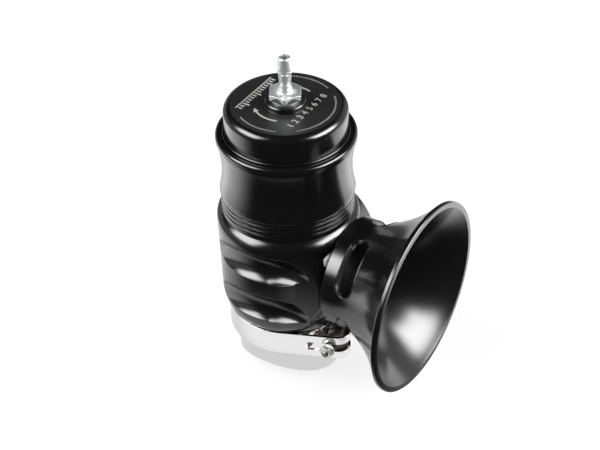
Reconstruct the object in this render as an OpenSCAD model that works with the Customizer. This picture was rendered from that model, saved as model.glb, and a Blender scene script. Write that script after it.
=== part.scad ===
// Blow off valve: a sprung piston in a turned body, with a clamped weld-on inlet, a slotted
// trumpet on its side outlet and a screwed cap that sets the spring.
// +Z is up the valve's axis and +X is along the outlet. The origin is on the axis, at the crown
// of the saddle cut in the inlet tube. All sizes are in millimetres.

/* [Inlet] */
// Outside radius of the inlet tube
tube_r = 25.4; // [24.4:0.1:26.4]
// Wall thickness of the inlet tube
tube_wall = 3.2; // [2.8:0.1:3.8]
// Radius of the pipe that the saddle cut fits
pipe_r = 44.45; // [40:0.05:80]
// Height of the clamped joint above the crown of the saddle cut
joint_z = 18.4; // [17:0.1:24]
// Depth of the relief turned in the tubes beside the clamped flanges
relief_d = 0.7; // [0.5:0.05:0.9]

/* [Clamp] */
// How far each clamped flange stands out from the tube
flange_lip = 1.8; // [1.4:0.1:2.4]
// Thickness of each clamped flange at its edge
flange_edge = 2; // [1.6:0.1:2.6]
// Slope of the back of each flange in degrees
flange_slope = 20; // [15:1:25]
// Metal thickness of the V segments
segment_t = 1.1; // [0.9:0.1:1.6]
// Height of the strap
strap_h = 12.6; // [12:0.1:14]
// Metal thickness of the strap
strap_t = 1.1; // [0.8:0.05:1.3]
// Outside radius of the loop at each end of the strap
loop_r = 6.2; // [5.6:0.1:7]
// Angle from the outlet to the middle of each loop in degrees
loop_angle = 18.3; // [17:0.1:22]
// Height of the slot through the loops
slot_h = 4.5; // [4.2:0.1:5]
// Length of the slot behind the bolt
slot_back = 10.6; // [8:0.1:11]
// Radius of the clamp bolt
bolt_r = 1.5; // [1.3:0.1:1.6]
// Width across the flats of the clamp nut
nut_flats = 5.5; // [5:0.1:6.5]
// Thickness of the clamp nut
nut_t = 2.6; // [2:0.1:4]
// Radius of the washer under the clamp nut
washer_r = 3.2; // [3:0.1:4]
// Thickness of the washer under the clamp nut
washer_t = 0.6; // [0.4:0.1:1.2]

/* [Body] */
// Radius of the body at its bottom edge
base_r = 29.5; // [29:0.1:30.5]
// Radius of the body at the top of its bottom round
body_r = 32.4; // [32:0.1:33]
// Radius of the body below its shoulder
shoulder_r = 33.3; // [33:0.1:34]
// Height of the round at the bottom of the body
base_round_h = 11; // [9:0.1:13]
// Height of the body from its bottom edge to the start of its shoulder
body_h = 50.3; // [48:0.1:54]
// Height of the shoulder
shoulder_h = 6.2; // [5:0.1:7]
// Radius of the grooved neck above the shoulder
neck_r = 30.9; // [30.4:0.1:31.2]
// Height of the grooved neck
neck_h = 8.8; // [7:0.1:10]
// Number of grooves in the neck
groove_count = 3; // [1:1:4]
// Width of each groove in the neck
groove_w = 0.9; // [0.5:0.1:1.1]
// Depth of each groove in the neck
groove_d = 0.7; // [0.3:0.1:1]
// Height of the spigot that carries the collar
spigot_h = 8; // [6:0.1:9]

/* [Flutes] */
// Radius of the cutter that makes the flutes
flute_r = 9.5; // [9:0.1:10.5]
// Depth of each flute at its crest
flute_depth = 3.6; // [3:0.1:4]
// Height of the lower flute's crest above the bottom edge of the body
flute_low_h = 15.9; // [15:0.1:18]
// Height from the lower flute's crest to the upper one's
flute_pitch = 24; // [22:0.1:26]
// How far each flute would fall from its crest in a quarter turn
flute_drop = 12; // [10:0.1:14]
// Turn of each crest from the side towards the outlet, in degrees
flute_turn = 5; // [0:1:8]

/* [Outlet] */
// Height of the outlet's axis above the bottom edge of the body
outlet_h = 29; // [28:0.1:30]
// Radius of the outlet's bore
outlet_bore_r = 19.4; // [18:0.1:20]
// Radius of the rounded outlet block
block_r = 28.8; // [27.5:0.1:29]
// Distance from the valve's axis to the middle of the outlet block
block_x = 4.1; // [3.5:0.1:5]
// Height of the middle of the outlet block above the outlet's axis
block_rise = 0.8; // [0.5:0.1:1.2]
// Half width of the outlet block
block_half_w = 25.6; // [24.5:0.1:26.4]
// Round on the edges of the outlet block
block_round = 1.2; // [0.8:0.1:2]
// Radius of the hollow where each side of the outlet block leaves the body
block_hollow_r = 10; // [6:0.5:14]
// Outside radius of the spigot that carries the trumpet
port_r = 22.4; // [22:0.1:22.6]
// How far the trumpet's socket goes over the spigot
port_len = 6; // [5:0.1:6.4]

/* [Trumpet] */
// Outside radius of the trumpet's neck
trumpet_r = 26.1; // [25.8:0.1:27]
// Length of the straight neck
trumpet_neck = 6.6; // [6.5:0.1:8]
// Radius of the curve where the neck begins to flare
flare_start_r = 22; // [18:0.5:26]
// Slope where the first curve meets the long one, in degrees
flare_slope = 25; // [20:1:28]
// Radius of the long curve of the flare
flare_r = 60; // [55:1:70]
// Radius of the bell at its rim
bell_r = 46; // [44:0.1:48]
// Width of the flat band round the rim
rim_w = 1.8; // [1.2:0.1:3]
// Wall thickness of the trumpet
trumpet_wall = 3; // [2.6:0.1:3.2]
// Number of slots round the neck, a quarter turn apart
vent_count = 3; // [1:1:4]
// Width of each slot along the trumpet
vent_w = 9.8; // [8:0.1:10]
// Angle that each slot spans between the middles of its ends, in degrees
vent_span = 41; // [30:1:44]
// Distance from the neck's end to the middle of the slots
vent_x = 11.4; // [11.2:0.1:12.5]

/* [Piston] */
// Radius of the piston
piston_r = 24; // [23.6:0.1:24.2]
// Radius of the valve seat's bore
seat_r = 21; // [20:0.1:21.6]
// Height of the valve seat above the bottom edge of the body
seat_h = 4.4; // [4:0.1:6]
// Length of the piston's skirt inside the liner at rest
skirt_in = 14; // [13:0.1:15]
// Thickness of the piston's crown
crown_t = 4; // [3:0.1:5]
// Wall thickness of the piston's skirt
skirt_t = 3.2; // [2.8:0.1:3.6]
// Wall thickness of the liner that the piston slides in
liner_t = 1.7; // [1.4:0.1:1.9]
// Running clearance of sliding and turning fits
run_gap = 0.06; // [0.03:0.01:0.08]
// Clearance between pieces that are fixed together
fit_gap = 0.1; // [0.05:0.01:0.15]

/* [Spring] */
// Middle radius of the coils
spring_r = 15.6; // [14:0.1:16.5]
// Radius of the spring wire
wire_r = 1.7; // [1.4:0.1:2]
// Number of turns
spring_turns = 7; // [5:1:9]

/* [Collar] */
// Radius of the collar at its lower edge
collar_base_r = 31.3; // [31:0.1:31.8]
// How far the collar's waist is drawn in
waist_depth = 1.8; // [1:0.1:2]
// Radius of the collar's lip
lip_r = 32; // [31.8:0.1:33]
// Height of the collar to the top of its lip
collar_h = 31; // [30:0.1:33]
// Height of the straight part of the lip
lip_h = 1.6; // [1:0.1:2.5]
// Round on the lip's upper edge
lip_round = 1.6; // [1:0.1:1.8]
// How far the rim round the cap stands above the lip
rim_rise = 0.8; // [0.4:0.1:1.2]
// Width of the rim round the cap
rim_t = 0.9; // [0.7:0.1:1.2]

/* [Cap] */
// Radius of the cap
cap_r = 28; // [27.8:0.1:28.4]
// Height of the cap's top above the collar's lip
cap_rise = 13.9; // [12:0.1:16]
// Length of the cap inside the collar at rest
cap_skirt = 9.6; // [9:0.1:10]
// Wall thickness of the cap's skirt
cap_wall = 3.4; // [3:0.1:4]
// Thickness of the cap's top
cap_top_t = 4; // [3.5:0.1:5]
// Round on the cap's upper edge
cap_round = 3.7; // [2:0.1:3.9]
// Radius of the boss round the hose fitting
boss_r = 9.3; // [8.6:0.1:10]
// Height of the boss
boss_h = 2.6; // [2:0.1:3]
// How far the cap can be screwed down from rest
cap_travel = 3; // [2:0.1:3.4]

/* [Hose fitting] */
// Width across the flats of the hexagon
hex_flats = 14; // [13:0.1:15]
// Thickness of the hexagon
hex_t = 2.8; // [2:0.1:3.5]
// Radius of the fitting's thread
thread_r = 4.9; // [4.5:0.1:5]
// Radius of the stem above the hexagon
stem_r = 2.55; // [2.4:0.05:2.7]
// Radius of the barb
barb_r = 3.3; // [3.1:0.01:3.5]
// Height of the fitting above the boss
fitting_h = 21.3; // [20:0.1:24]
// Radius of the bore through the fitting
hose_bore_r = 1.7; // [1.2:0.1:1.9]

/* [Hidden] */
$fn = 96;

black = [0.04, 0.04, 0.045];
polished = [0.86, 0.86, 0.87];
zinc = [0.78, 0.8, 0.8];
rubber = [0.08, 0.08, 0.08];
brass = [0.72, 0.58, 0.3];

// Heights that the pieces share
base_z = joint_z + strap_h / 2 + 4 * fit_gap;
seat_z = base_z + seat_h;
outlet_z = base_z + outlet_h;
shoulder_z = base_z + body_h + shoulder_h;
neck_top_z = shoulder_z + neck_h;
lip_z = neck_top_z + collar_h;
cap_top_z = lip_z + cap_rise;
cap_low_z = lip_z - cap_skirt;
cap_under_z = cap_top_z - cap_top_t;
cap_stop_z = cap_low_z - cap_travel - 2 * fit_gap;
boss_top_z = cap_top_z + boss_h;

// How far a cutter runs past the face that it cuts, and how far a flat is sunk in a round that it meets
over = 1;
sink = 0.02;

// Flanges and clamp
tube_bore_r = tube_r - tube_wall;
relief_r = tube_r - relief_d;
relief_z = joint_z - strap_h / 2 - 5 * fit_gap;
flange_r = tube_r + flange_lip;
flange_rise = (flange_r - relief_r) * tan(flange_slope);
segment_ro = flange_r + fit_gap + segment_t;
segment_half_h = flange_edge + flange_rise + fit_gap + segment_t;
segment_end = 26;
segment_split = 4;
strap_ri = segment_ro + fit_gap;
strap_ro = strap_ri + strap_t;
loop_d = strap_ri + loop_r + strap_t / 2;
loop_x = loop_d * cos(loop_angle);
loop_y = loop_d * sin(loop_angle);
tangent_turn = acos((strap_ro - loop_r) / loop_d);
run_turn = loop_angle + tangent_turn;
barrel_r = loop_r - strap_t - 2 * fit_gap;
barrel_margin = 2;
barrel_h = strap_h - 2 * barrel_margin;
bolt_hole_r = bolt_r + fit_gap;
sleeve_r = slot_h / 2 - fit_gap;
sleeve_end_y = loop_y + (loop_r + washer_r * cos(run_turn)) / sin(run_turn) + fit_gap;
bolt_over = 0.9;
bolt_end_y = sleeve_end_y + washer_t + nut_t + bolt_over;

// Seals
seal_gap = fit_gap / 2;
flange_wire = 1;
flange_ring_r = (tube_bore_r + flange_r) / 2;
small_wire = 0.75;
small_groove = small_wire + seal_gap;

// Liner and piston
liner_bore_r = piston_r + run_gap;
liner_ro = liner_bore_r + liner_t;
liner_seat_r = liner_ro + fit_gap;
chamber_gap = 1.2;
chamber_r = piston_r + chamber_gap;
spigot_t = 1.7;
spigot_ro = liner_seat_r + spigot_t;
spigot_top_z = neck_top_z + spigot_h;
liner_drop = 0.6;
liner_low_z = base_z + body_h - liner_drop;
liner_top_z = cap_stop_z - fit_gap;
liner_wire = 0.55;
liner_ring_in = 3.5;
liner_ring_zs = [liner_low_z + liner_ring_in, spigot_top_z - liner_ring_in];
piston_low_z = seat_z + 3 * fit_gap;
piston_top_z = liner_low_z + skirt_in;
piston_edge = 1.2;
skirt_edge = 0.6;
crown_top_z = piston_low_z + crown_t;
skirt_ri = piston_r - skirt_t;
piston_ring_h = 2;
piston_ring_d = 1.4;
piston_ring_zs = [piston_top_z - 5 * piston_ring_h, piston_top_z - 2 * piston_ring_h];
seat_land = piston_r - seat_r;
seal_ri = seat_r + 0.2 * seat_land;
seal_ro = seat_r + 0.7 * seat_land;
seal_in = 0.8;
seal_proud = 0.25;

// Spring and its seat
spring_low_z = crown_top_z + fit_gap;
plate_rise = 13;
seat_plate_z = piston_top_z + plate_rise;
spring_top_z = seat_plate_z - fit_gap;
seat_plate_t = 3.5;
plate_gap = 1;
seat_plate_r = skirt_ri - plate_gap;
hub_room = 4.4;
hub_t = 2.6;
hub_ri = thread_r + hub_room;
hub_ro = hub_ri + hub_t;
thrust_t = 0.6;
hub_top_z = cap_under_z - thrust_t - 2 * run_gap;

// Collar
collar_bore_r = spigot_ro + fit_gap;
collar_cap_r = cap_r + run_gap;
collar_ring_z = neck_top_z + 2 * small_wire;
collar_edge = 0.7;
waist_low_z = neck_top_z + collar_edge;
waist_top_z = lip_z - lip_round - lip_h;
rim_groove_w = 0.5;
rim_groove_d = 0.6;
rim_edge = 0.3;

// Cap and hose fitting
cap_edge = 0.5;
cap_ring_z = cap_low_z + 2.5 * small_wire;
boss_ring_in = 1.3;
boss_ring_w = 0.4;
fitting_washer_t = 1.5;
hex_r = hex_flats / 2 / cos(30);
hex_low_z = boss_top_z + fitting_washer_t;
hex_top_z = hex_low_z + hex_t;
hex_edge = 0.5;
fitting_top_z = boss_top_z + fitting_h;
thread_end = 1;
stem_foot_r = 3.6;
stem_foot_h = 3;
barb_len = 6.4;
barb_flat = 1.2;
barb_edge = 0.3;
barb_bead = 0.6;
barb_tip_r = 2.35;

// Outlet and trumpet
block_face_x = block_x + block_r;
trumpet_x = block_face_x + fit_gap;
port_end_x = trumpet_x + port_len;
socket_r = port_r + fit_gap;
flare_x = trumpet_x + trumpet_neck;
flare_c1 = [flare_x, trumpet_r + flare_start_r];
flare_c2 = flare_c1 + (flare_r - flare_start_r) * [-sin(flare_slope), cos(flare_slope)];
flare_end = asin((bell_r - flare_c2[1]) / flare_r);
rim_x = flare_c2[0] + flare_r * cos(flare_end);
bell_x = rim_x + rim_w;
clip_wire = 0.6;
clip_x = port_end_x - 3 * clip_wire;
port_ring_x = trumpet_x + 2.5 * small_wire;
bell_edge = 0.4;
vent_turn = -45;
vent_reach = 12;

// Points round an arc, from one angle to another
function arc(c, r, a0, a1, n = 12) =
    [for (i = [0:n]) c + r * [cos(a0 + (a1 - a0) * i / n), sin(a0 + (a1 - a0) * i / n)]];

// Radius of the arc that has this chord and sag
function sag_r(chord, sag) = (chord * chord / 4 + sag * sag) / (2 * sag);

// Points along a sagging arc between two ends, drawn in to the left of the way from a to b
function sagged(a, b, sag, n = 16) =
    let (chord = norm(b - a), r = sag_r(chord, sag), along = (b - a) / chord)
    let (side = [-along[1], along[0]], half = asin(chord / 2 / r))
    [for (i = [0:n]) let (t = -half + 2 * half * i / n)
        (a + b) / 2 + r * sin(t) * along + (r * cos(t) - r + sag) * side];

// Faces of a closed sweep whose points are listed one section after another
function sweep_faces(sides, steps) = concat(
    [[for (k = [0:sides - 1]) k], [for (k = [sides - 1:-1:0]) sides * steps + k]],
    [for (i = [0:steps - 1], k = [0:sides - 1]) let (n = (k + 1) % sides)
        [i * sides + n, i * sides + k, i * sides + sides + k, i * sides + sides + n]]);

module ring(ro, ri, z0, z1) {
    translate([0, 0, z0]) difference() {
        cylinder(r = ro, h = z1 - z0);
        translate([0, 0, -over]) cylinder(r = ri, h = z1 - z0 + 2 * over);
    }
}

module torus(r, wire) {
    rotate_extrude() translate([r, 0]) circle(r = wire, $fn = 32);
}

module along_x(x) {
    translate([x, 0, outlet_z]) rotate([0, 90, 0]) children();
}

module both_sides() {
    children();
    mirror([0, 1, 0]) children();
}

// Inlet tube with its flange, cut to sit on a pipe
module weld_flange() {
    dip = pipe_r - sqrt(pipe_r * pipe_r - tube_r * tube_r);
    color(polished) difference() {
        rotate_extrude() polygon([
            [tube_bore_r, -dip - over], [tube_r, -dip - over], [tube_r, relief_z],
            [relief_r, relief_z + relief_d], [relief_r, joint_z - flange_edge - flange_rise],
            [flange_r, joint_z - flange_edge], [flange_r, joint_z], [tube_bore_r, joint_z]]);
        translate([0, 0, -pipe_r]) rotate([90, 0, 0])
            cylinder(r = pipe_r, h = 4 * tube_r, center = true, $fn = 180);
        ring(flange_ring_r + flange_wire, flange_ring_r - flange_wire,
            joint_z - 2 * flange_wire, joint_z + over);
    }
}

module flange_o_ring() {
    color(rubber) translate([0, 0, joint_z - flange_wire])
        torus(flange_ring_r, flange_wire - seal_gap);
}

// Outline of one loop with its straight run back to the band
module loop_outline(inset) {
    way = [cos(run_turn), -sin(run_turn)];
    centre = [loop_x, -loop_y];
    translate(centre) circle(r = loop_r - inset);
    shift = inset + sink;
    polygon([[0, 0], way * (strap_ro - shift), centre + way * (loop_r - shift), centre]);
}

module strap_outline() {
    reach = 2 * loop_d;
    both = [-1, 1];
    difference() {
        circle(r = strap_ro);
        circle(r = strap_ri);
        polygon([[0, 0], for (s = both) reach * [cos(loop_angle), s * sin(loop_angle)]]);
    }
    for (s = both) mirror([0, s > 0 ? 1 : 0]) difference() {
        loop_outline(0);
        loop_outline(strap_t);
        circle(r = strap_ri);
    }
}

// Strap with its two folded loops, slotted for the bolt
module clamp_strap() {
    color(polished) translate([0, 0, joint_z - strap_h / 2]) difference() {
        linear_extrude(strap_h) strap_outline();
        difference() {
            translate([loop_x - slot_back, -2 * loop_d, strap_h / 2 - slot_h / 2])
                cube([4 * loop_r + slot_back, 4 * loop_d, slot_h]);
            cylinder(r = strap_ro, h = strap_h);
        }
    }
}

// Pair of V segments that draw the two flanges together
module clamp_segments() {
    leg_r = tube_r + 4 * fit_gap;
    slack = flange_r - leg_r;
    seat = flange_edge + fit_gap;
    profile = [
        [segment_ro, -segment_half_h], [segment_ro, segment_half_h], [leg_r, segment_half_h],
        [leg_r, seat + slack * tan(flange_slope)], [flange_r + fit_gap, seat],
        [flange_r + fit_gap, -seat], [leg_r, -seat - slack * tan(flange_slope)],
        [leg_r, -segment_half_h]];
    color(polished) translate([0, 0, joint_z]) both_sides()
        rotate([0, 0, segment_end]) rotate_extrude(angle = 180 - segment_split - segment_end)
            polygon(profile);
}

// Barrel in the near loop, with the sleeve that the nut bears on
module clamp_trunnion() {
    color(zinc) translate([loop_x, -loop_y, joint_z]) difference() {
        union() {
            cylinder(r = barrel_r, h = barrel_h, center = true);
            rotate([90, 0, 0]) cylinder(r = sleeve_r, h = sleeve_end_y - loop_y);
        }
        rotate([90, 0, 0]) cylinder(r = bolt_hole_r, h = 4 * loop_r, center = true);
    }
}

// Bolt through both loops, with its cross bar in the far one
module clamp_bolt() {
    color(zinc) translate([loop_x, loop_y, joint_z]) {
        cylinder(r = barrel_r, h = barrel_h, center = true);
        rotate([90, 0, 0]) cylinder(r = bolt_r, h = loop_y + bolt_end_y);
    }
}

module clamp_washer() {
    color(zinc) translate([loop_x, -sleeve_end_y, joint_z]) rotate([90, 0, 0])
        ring(washer_r, bolt_hole_r, 0, washer_t);
}

module clamp_nut() {
    color(zinc) translate([loop_x, -sleeve_end_y - washer_t, joint_z]) rotate([90, 0, 0])
        difference() {
            cylinder(r = nut_flats / 2 / cos(30), h = nut_t, $fn = 6);
            translate([0, 0, -over]) cylinder(r = bolt_hole_r, h = nut_t + 2 * over);
        }
}

// Outside of the turned body, from its flange to the spigot under the collar
module body_form() {
    round_r = sag_r(2 * base_round_h, body_r - base_r);
    round_c = [body_r - round_r, base_z + base_round_h];
    round_a = asin(base_round_h / round_r);
    shoulder_c = [shoulder_r - shoulder_h, base_z + body_h];
    shoulder_a = acos(1 - (shoulder_r - neck_r) / shoulder_h);
    shoulder = arc(shoulder_c, shoulder_h, 0, shoulder_a, 8);
    pitch = neck_h / (groove_count + 0.5);
    grooves = [for (i = [1:groove_count], k = [-1, -0.5, 0.5, 1])
        [neck_r - (abs(k) < 1 ? groove_d : 0), shoulder_z + (i - 0.25) * pitch + k * groove_w / 2]];
    rotate_extrude() polygon(concat(
        [[0, joint_z], [flange_r, joint_z], [flange_r, joint_z + flange_edge],
            [relief_r, joint_z + flange_edge + flange_rise], [relief_r, base_z]],
        arc(round_c, round_r, -round_a, 0, 10),
        shoulder,
        [[neck_r, shoulder_z]],
        grooves,
        [[neck_r, neck_top_z], [spigot_ro, neck_top_z], [spigot_ro, spigot_top_z],
            [0, spigot_top_z]]));
}

// A flute's path falls away from its crest. At an angle from the crest, this is how far it has
// fallen, how steeply it leans, how far out the wall is, and how far it has run out of the wall
flute_full = [-8, 10];
flute_end = [-55, 46];
flute_over = 1.3;
flute_blend = 1.2;
function flute_fall(d) = flute_drop * (1 - cos(d));
function flute_lean(d) = atan2(-flute_drop * sin(d), body_r);
function flute_out(d, side) = max(0, (d - flute_full[side]) / (flute_end[side] - flute_full[side]));
function flute_wall(a) = let (flat = block_half_w / cos(max(0, a)))
    (body_r + flat + norm([body_r - flat, flute_blend])) / 2;
function flute_fade(d) = flute_over * flute_depth * pow(flute_out(d, d < 0 ? 0 : 1), 2);

// Cutter for one flute, a round section swept along an arched path round the body
module flute(crest_z) {
    steps = 24;
    half = 78;
    cuts = 12;
    back = 2;
    section = concat(
        [[back, -flute_r * sin(half)]],
        [for (k = [0:cuts]) let (w = half * (2 * k / cuts - 1)) flute_r * [-cos(w), sin(w)]],
        [[back, flute_r * sin(half)]]);
    sides = len(section);
    points = [for (i = [0:steps], p = section)
        let (d = flute_end[0] + (flute_end[1] - flute_end[0]) * i / steps, lean = flute_lean(d))
        let (a = d + flute_turn - atan2(p[1] * sin(lean), body_r))
        let (r = flute_wall(a) + flute_r - flute_depth + flute_fade(d) + p[0])
        [r * sin(a), -r * cos(a), crest_z - flute_fall(d) + p[1] * cos(lean)]];
    polyhedron(points, sweep_faces(sides, steps), convexity = 4);
}

module at_block() {
    translate([block_x, 0, outlet_z + block_rise]) rotate([90, 0, 0]) children();
}

// Half drum that carries the outlet, lying across the body
module outlet_block() {
    corner = [block_r - block_round, block_half_w - block_round];
    at_block() rotate([0, 0, -90]) rotate_extrude(angle = 180) polygon(concat(
        [[0, -block_half_w]],
        arc([corner[0], -corner[1]], block_round, -90, 0, 8),
        arc(corner, block_round, 0, 90, 8),
        [[0, block_half_w]]));
}

// Hollow that leads from the body to one side of the outlet block
module block_hollow() {
    side = block_half_w + block_hollow_r;
    centre = [sqrt(pow(body_r + block_hollow_r, 2) - side * side), -side];
    start = 90 + atan2(centre[0], side);
    intersection() {
        translate([0, 0, base_z]) linear_extrude(2 * outlet_h)
            polygon(concat([[0, 0]], arc(centre, block_hollow_r + sink, start, 90, 8), [[centre[0], 0]]));
        at_block() cylinder(r = block_r - block_round - fit_gap, h = 4 * body_r, center = true);
    }
}

module body() {
    flute_low_z = base_z + flute_low_h;
    color(black) difference() {
        union() {
            difference() {
                union() {
                    body_form();
                    outlet_block();
                    both_sides() block_hollow();
                }
                both_sides() for (z = [flute_low_z, flute_low_z + flute_pitch]) flute(z);
            }
            along_x(0) cylinder(r = port_r, h = port_end_x);
        }
        rotate_extrude() polygon([
            [0, joint_z - over], [seat_r, joint_z - over], [seat_r, seat_z], [chamber_r, seat_z],
            [chamber_r, liner_low_z], [liner_seat_r, liner_low_z],
            [liner_seat_r, spigot_top_z + over], [0, spigot_top_z + over]]);
        along_x(0) cylinder(r = outlet_bore_r, h = port_end_x + over);
        along_x(port_ring_x) ring(port_r + over, port_r - 2 * small_wire, -small_groove, small_groove);
        along_x(clip_x) torus(port_r, clip_wire + fit_gap);
    }
}

// Bronze sleeve that guides the piston
module liner() {
    color(brass) difference() {
        ring(liner_ro, liner_bore_r, liner_low_z, liner_top_z);
        for (z = liner_ring_zs) translate([0, 0, z])
            ring(liner_ro + over, liner_ro - 2 * liner_wire, -liner_wire - seal_gap, liner_wire + seal_gap);
    }
}

module liner_o_rings() {
    color(rubber) for (z = liner_ring_zs) translate([0, 0, z])
        torus(liner_ro - liner_wire + seal_gap, liner_wire);
}

// Cup piston, open at the top for the spring
module piston() {
    color(zinc) difference() {
        rotate_extrude() polygon([
            [0, piston_low_z], [piston_r - piston_edge, piston_low_z],
            [piston_r, piston_low_z + piston_edge], [piston_r, piston_top_z - skirt_edge],
            [piston_r - skirt_edge, piston_top_z], [skirt_ri, piston_top_z],
            [skirt_ri, crown_top_z], [0, crown_top_z]]);
        for (z = piston_ring_zs) translate([0, 0, z])
            ring(piston_r + over, piston_r - piston_ring_d, -piston_ring_h / 2, piston_ring_h / 2);
        translate([0, 0, piston_low_z]) ring(seal_ro, seal_ri, -over, seal_in);
    }
}

// Face seal let into the piston's crown
module piston_seal() {
    color(rubber) translate([0, 0, piston_low_z])
        ring(seal_ro - seal_gap, seal_ri + seal_gap, -seal_proud, seal_in - seal_gap);
}

module piston_rings() {
    half = piston_ring_h / 2 - seal_gap;
    color(rubber) for (z = piston_ring_zs) translate([0, 0, z])
        ring(piston_r + run_gap / 3, piston_r - piston_ring_d + seal_gap, -half, half);
}

// Coil spring, a round wire swept up a helix
module main_spring() {
    sides = 8;
    steps = 16 * spring_turns;
    rise = spring_top_z - spring_low_z - 2 * wire_r;
    points = [for (i = [0:steps], k = [0:sides - 1])
        let (a = 360 * spring_turns * i / steps, w = 360 * k / sides, r = spring_r + wire_r * cos(w))
        [r * cos(a), r * sin(a), spring_low_z + wire_r + rise * i / steps + wire_r * sin(w)]];
    color(zinc) polyhedron(points, sweep_faces(sides, steps));
}

// Plate on the spring, with the hub that the cap presses down
module spring_seat() {
    color(zinc) rotate_extrude() polygon([
        [hub_ri, seat_plate_z], [seat_plate_r, seat_plate_z],
        [seat_plate_r, seat_plate_z + seat_plate_t], [hub_ro, seat_plate_z + seat_plate_t],
        [hub_ro, hub_top_z], [hub_ri, hub_top_z]]);
}

module thrust_washer() {
    color(brass) ring(hub_ro, hub_ri, hub_top_z + run_gap, hub_top_z + run_gap + thrust_t);
}

// Waisted collar that screws onto the body and carries the cap
module collar() {
    lip_c = [lip_r - lip_round, lip_z - lip_round];
    rim_r = collar_cap_r + rim_t;
    rim_top_z = lip_z + rim_rise;
    groove_z = lip_z - rim_groove_d;
    groove_r = collar_bore_r + 2 * small_wire;
    low = [collar_base_r, waist_low_z];
    high = [lip_r, waist_top_z];
    color(black) rotate_extrude() polygon(concat(
        [[collar_bore_r, neck_top_z], [collar_base_r - collar_edge, neck_top_z]],
        sagged(low, high, waist_depth),
        arc(lip_c, lip_round, 0, 90, 8),
        [[rim_r + rim_groove_w, lip_z], [rim_r + rim_groove_w, groove_z], [rim_r, groove_z],
            [rim_r, rim_top_z - rim_edge], [rim_r - rim_edge, rim_top_z], [collar_cap_r, rim_top_z],
            [collar_cap_r, cap_stop_z], [liner_seat_r, cap_stop_z],
            [liner_seat_r, spigot_top_z + fit_gap], [collar_bore_r, spigot_top_z + fit_gap],
            [collar_bore_r, collar_ring_z + small_groove], [groove_r, collar_ring_z + small_groove],
            [groove_r, collar_ring_z - small_groove], [collar_bore_r, collar_ring_z - small_groove]]));
}

module collar_o_ring() {
    color(rubber) translate([0, 0, collar_ring_z])
        torus(collar_bore_r + small_wire - seal_gap, small_wire);
}

// Adjuster cap with a boss for the hose fitting
module cap() {
    round_c = [cap_r - cap_round, cap_top_z - cap_round];
    skirt_r = cap_r - cap_wall;
    ring_ro = boss_r - boss_ring_in;
    ring_ri = ring_ro - boss_ring_w;
    color(black) difference() {
        rotate_extrude() polygon(concat(
            [[thread_r, cap_under_z], [skirt_r, cap_under_z], [skirt_r, cap_low_z],
                [cap_r - cap_edge, cap_low_z], [cap_r, cap_low_z + cap_edge]],
            arc(round_c, cap_round, 0, 90, 10),
            [[boss_r, cap_top_z], [boss_r, boss_top_z - cap_edge], [boss_r - cap_edge, boss_top_z],
                [ring_ro, boss_top_z], [ring_ro, boss_top_z - boss_ring_w],
                [ring_ri, boss_top_z - boss_ring_w], [ring_ri, boss_top_z], [thread_r, boss_top_z]]));
        translate([0, 0, cap_ring_z])
            ring(cap_r + over, cap_r - 2 * small_wire - seal_gap, -small_groove, small_groove);
    }
}

module cap_o_ring() {
    color(rubber) translate([0, 0, cap_ring_z]) torus(cap_r - small_wire + run_gap / 3, small_wire);
}

// Barbed stem of the hose fitting, with the plain shank that stands for its thread
module fitting_stem() {
    shank_r = thread_r - fit_gap;
    shank_low_z = cap_under_z - thread_end;
    barb_z = fitting_top_z - barb_len;
    bead_r = barb_r - barb_edge / 6;
    rotate_extrude() polygon([
        [0, shank_low_z], [shank_r - hex_edge, shank_low_z], [shank_r, shank_low_z + hex_edge],
        [shank_r, hex_low_z], [hex_flats / 2 - hex_edge, hex_low_z],
        [hex_flats / 2 - hex_edge, hex_top_z - sink], [stem_foot_r, hex_top_z],
        [stem_foot_r - barb_edge, hex_top_z + stem_foot_h / 3], [stem_r, hex_top_z + stem_foot_h],
        [barb_r - barb_edge, barb_z - 2 * barb_bead], [bead_r, barb_z - 1.5 * barb_bead],
        [bead_r, barb_z - barb_bead / 2], [barb_r - barb_edge, barb_z], [barb_r, barb_z + barb_bead],
        [barb_r, barb_z + barb_bead + barb_flat], [barb_tip_r + barb_edge, fitting_top_z - barb_edge],
        [barb_tip_r, fitting_top_z], [0, fitting_top_z]]);
}

// Hose fitting: a thread, a thin hexagon and a barbed stem, drilled through
module hose_fitting() {
    color(zinc) difference() {
        union() {
            fitting_stem();
            intersection() {
                translate([0, 0, hex_low_z]) cylinder(r = hex_r, h = hex_t, $fn = 6);
                rotate_extrude() polygon([
                    [0, hex_low_z], [hex_r - barb_edge, hex_low_z], [hex_r, hex_low_z + barb_edge],
                    [hex_r, hex_top_z - hex_edge], [hex_flats / 2 - barb_edge, hex_top_z], [0, hex_top_z]]);
            }
        }
        translate([0, 0, cap_under_z - 2 * over])
            cylinder(r = hose_bore_r, h = fitting_top_z - cap_under_z + 3 * over);
    }
}

// Sealing washer under the hexagon
module fitting_washer() {
    color(zinc) ring(hex_flats / 2 - hex_edge, thread_r, boss_top_z, hex_low_z);
}

// Outside or inside of the flare, a wall's thickness apart
function flare(inset, end) = concat(
    arc(flare_c1, flare_start_r + inset, -90, flare_slope - 90, 8),
    arc(flare_c2, flare_r + inset, flare_slope - 90, end, 16));

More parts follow.
